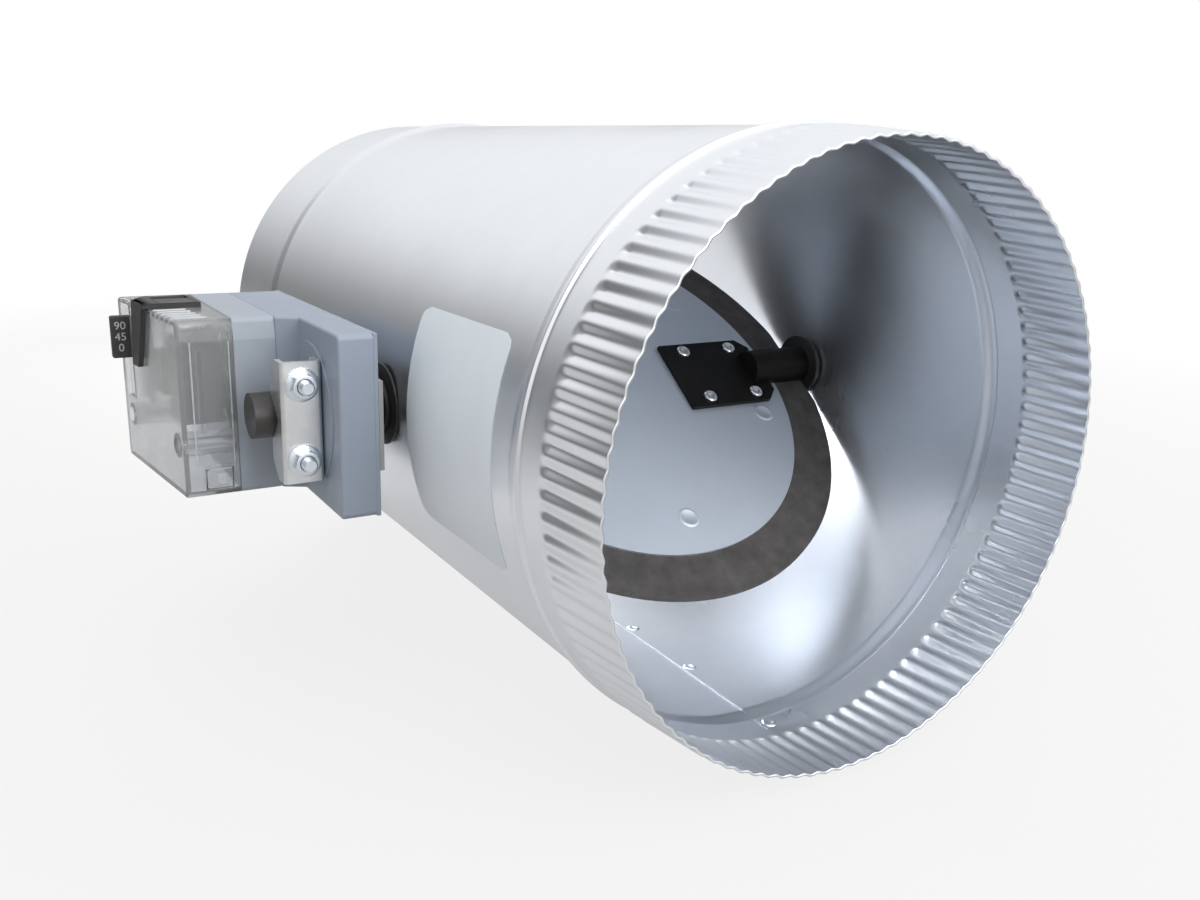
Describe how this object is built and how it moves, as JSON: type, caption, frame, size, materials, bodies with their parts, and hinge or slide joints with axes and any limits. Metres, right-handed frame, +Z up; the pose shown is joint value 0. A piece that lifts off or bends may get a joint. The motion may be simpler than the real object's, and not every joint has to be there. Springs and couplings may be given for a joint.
{
  "type": "motorised round duct damper",
  "caption": "Round sheet-metal duct section with a pivoting sealed blade, turned by a geared actuator that is clamped to the blade's shaft.",
  "frame": {"origin": "centre of the plain outlet end's opening, on the duct axis", "axes": "+Y leaves the plain outlet end along the duct axis, +Z is up, and the blade shaft lies along X with the actuator on the -X side"},
  "size_m": [0.2907, 0.3605, 0.2056],
  "materials": {
    "galvanised_steel": "satin zinc-coated sheet with a soft mottle",
    "foam_gasket": "matt closed-cell foam",
    "black_steel": "satin black",
    "black_plastic": "fine matt grain",
    "black_rubber": "matt",
    "zinc_plate": "bright zinc plate",
    "pale_grey_plastic": "smooth matt moulding",
    "clear_plastic": "smoky clear gloss",
    "gear_plastic": "natural white",
    "bare_steel": "turned",
    "board": "varnished board",
    "dark_plastic": "matt",
    "can_aluminium": "drawn"
  },
  "bodies": {
    "duct": {"duct_barrel": "galvanised_steel", "drive_side_bushing": "black_plastic", "far_side_bushing": "black_plastic", "bushing_retainers": "black_plastic", "standoff_strap": "galvanised_steel", "strap_rivets": "zinc_plate", "tail_screw": "zinc_plate", "gear_case": "pale_grey_plastic", "case_back_plate": "pale_grey_plastic", "middle_housing": "pale_grey_plastic", "clear_cover": "clear_plastic", "cover_screws": "zinc_plate", "terminal_cap": "black_plastic", "circuit_board": "board", "terminal_block": "dark_plastic", "relay": "dark_plastic", "capacitor": "can_aluminium", "drive_motor": "bare_steel", "idler_axle": "bare_steel", "cable_grommet": "black_rubber", "position_dial": "pale_grey_plastic"},
    "blade": {"blade_front_disc": "galvanised_steel", "blade_rear_disc": "galvanised_steel", "blade_gasket": "foam_gasket", "blade_clinch_studs": "galvanised_steel", "drive_side_blade_bracket": "black_steel", "far_side_blade_bracket": "black_steel", "blade_bracket_rivets": "zinc_plate", "drive_shaft": "black_steel", "stub_shaft": "black_steel", "output_gear": "gear_plastic", "clamp_saddle": "zinc_plate", "clamp_u_bolt": "zinc_plate", "clamp_nuts": "zinc_plate"},
    "idler": {"idler_gear": "gear_plastic"},
    "motor_gear": {"motor_pinion": "gear_plastic"},
    "lever": {"release_lever": "black_plastic"}
  },
  "joints": [
    {"name": "blade_turn", "type": "hinge", "parent": "duct", "child": "blade", "pos_m": [0, -0.2117, 0], "axis": [1, 0, 0], "range_deg": [-36.5, 34.5]},
    {"name": "idler_turn", "type": "hinge", "parent": "duct", "child": "idler", "pos_m": [-0.121, -0.1817, 0], "axis": [1, 0, 0], "range_deg": [-140, 148]},
    {"name": "motor_turn", "type": "hinge", "parent": "duct", "child": "motor_gear", "pos_m": [-0.1235, -0.1609, 0], "axis": [1, 0, 0], "range_deg": [-490, 464]},
    {"name": "lever_slide", "type": "slide", "parent": "duct", "child": "lever", "axis": [0, 0, 1], "range_m": [-0.015, 0.003]}
  ],
  "couplings": [
    {"joint": "idler_turn", "follows": "blade_turn", "ratio": -4},
    {"joint": "motor_turn", "follows": "blade_turn", "ratio": 13.333}
  ]
}
